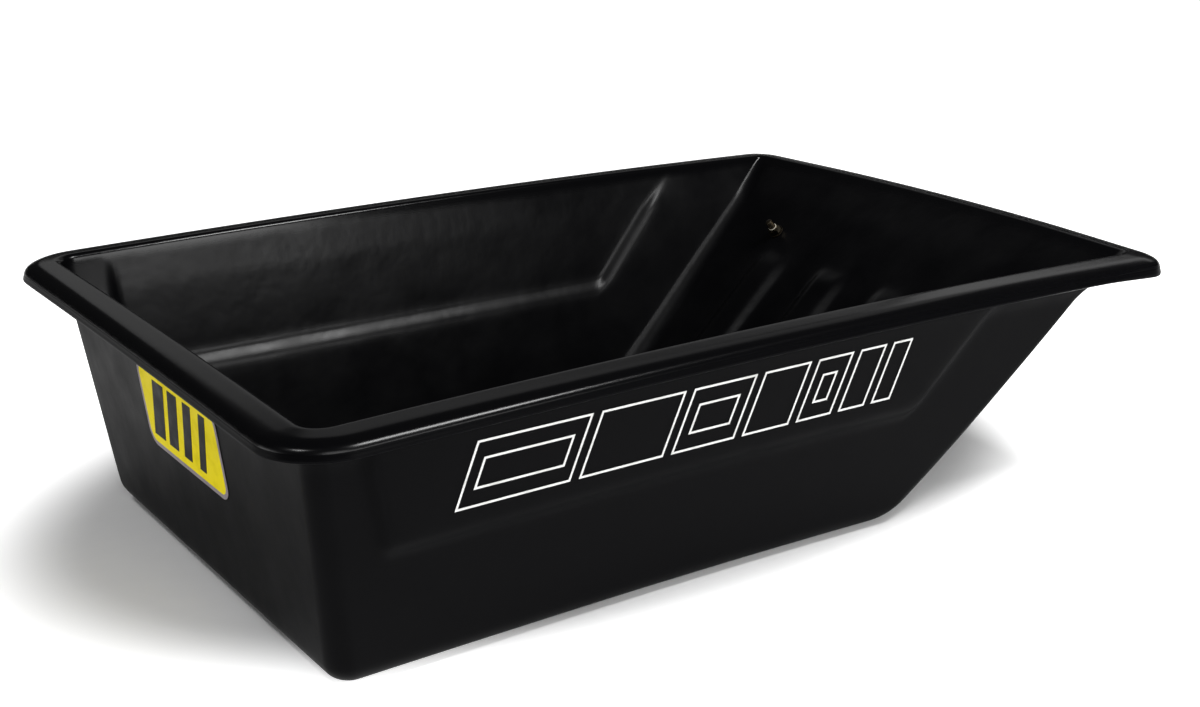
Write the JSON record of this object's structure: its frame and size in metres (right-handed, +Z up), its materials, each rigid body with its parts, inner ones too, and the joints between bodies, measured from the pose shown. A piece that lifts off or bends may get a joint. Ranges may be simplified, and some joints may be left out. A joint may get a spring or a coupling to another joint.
{
  "type": "pulk sled",
  "caption": "Deep moulded plastic cargo sled with a rolled rim, raised side panels, a ribbed sloping bow and metal tow eyes.",
  "frame": {"origin": "on the ground, under the centre of the overall bounding box", "axes": "+X towards the bow along the length, +Y to the left side, +Z up"},
  "size_m": [1.0047, 0.6604, 0.2577],
  "materials": {
    "tub": "semi-gloss moulded polyethylene",
    "hardware": "zinc plated",
    "side_sticker": "printed vinyl film",
    "stern_sticker": "printed vinyl film"
  },
  "bodies": {
    "root": {"tub_shell": "tub", "tow_eye_bolt_left": "hardware", "tow_eye_bolt_right": "hardware", "tow_washer_outer_left": "hardware", "tow_washer_outer_right": "hardware", "tow_washer_inner_left": "hardware", "tow_washer_inner_right": "hardware", "tow_lock_nut_left": "hardware", "tow_lock_nut_right": "hardware", "side_sticker_left": "side_sticker", "side_sticker_right": "side_sticker", "stern_sticker": "stern_sticker"}
  },
  "joints": []
}
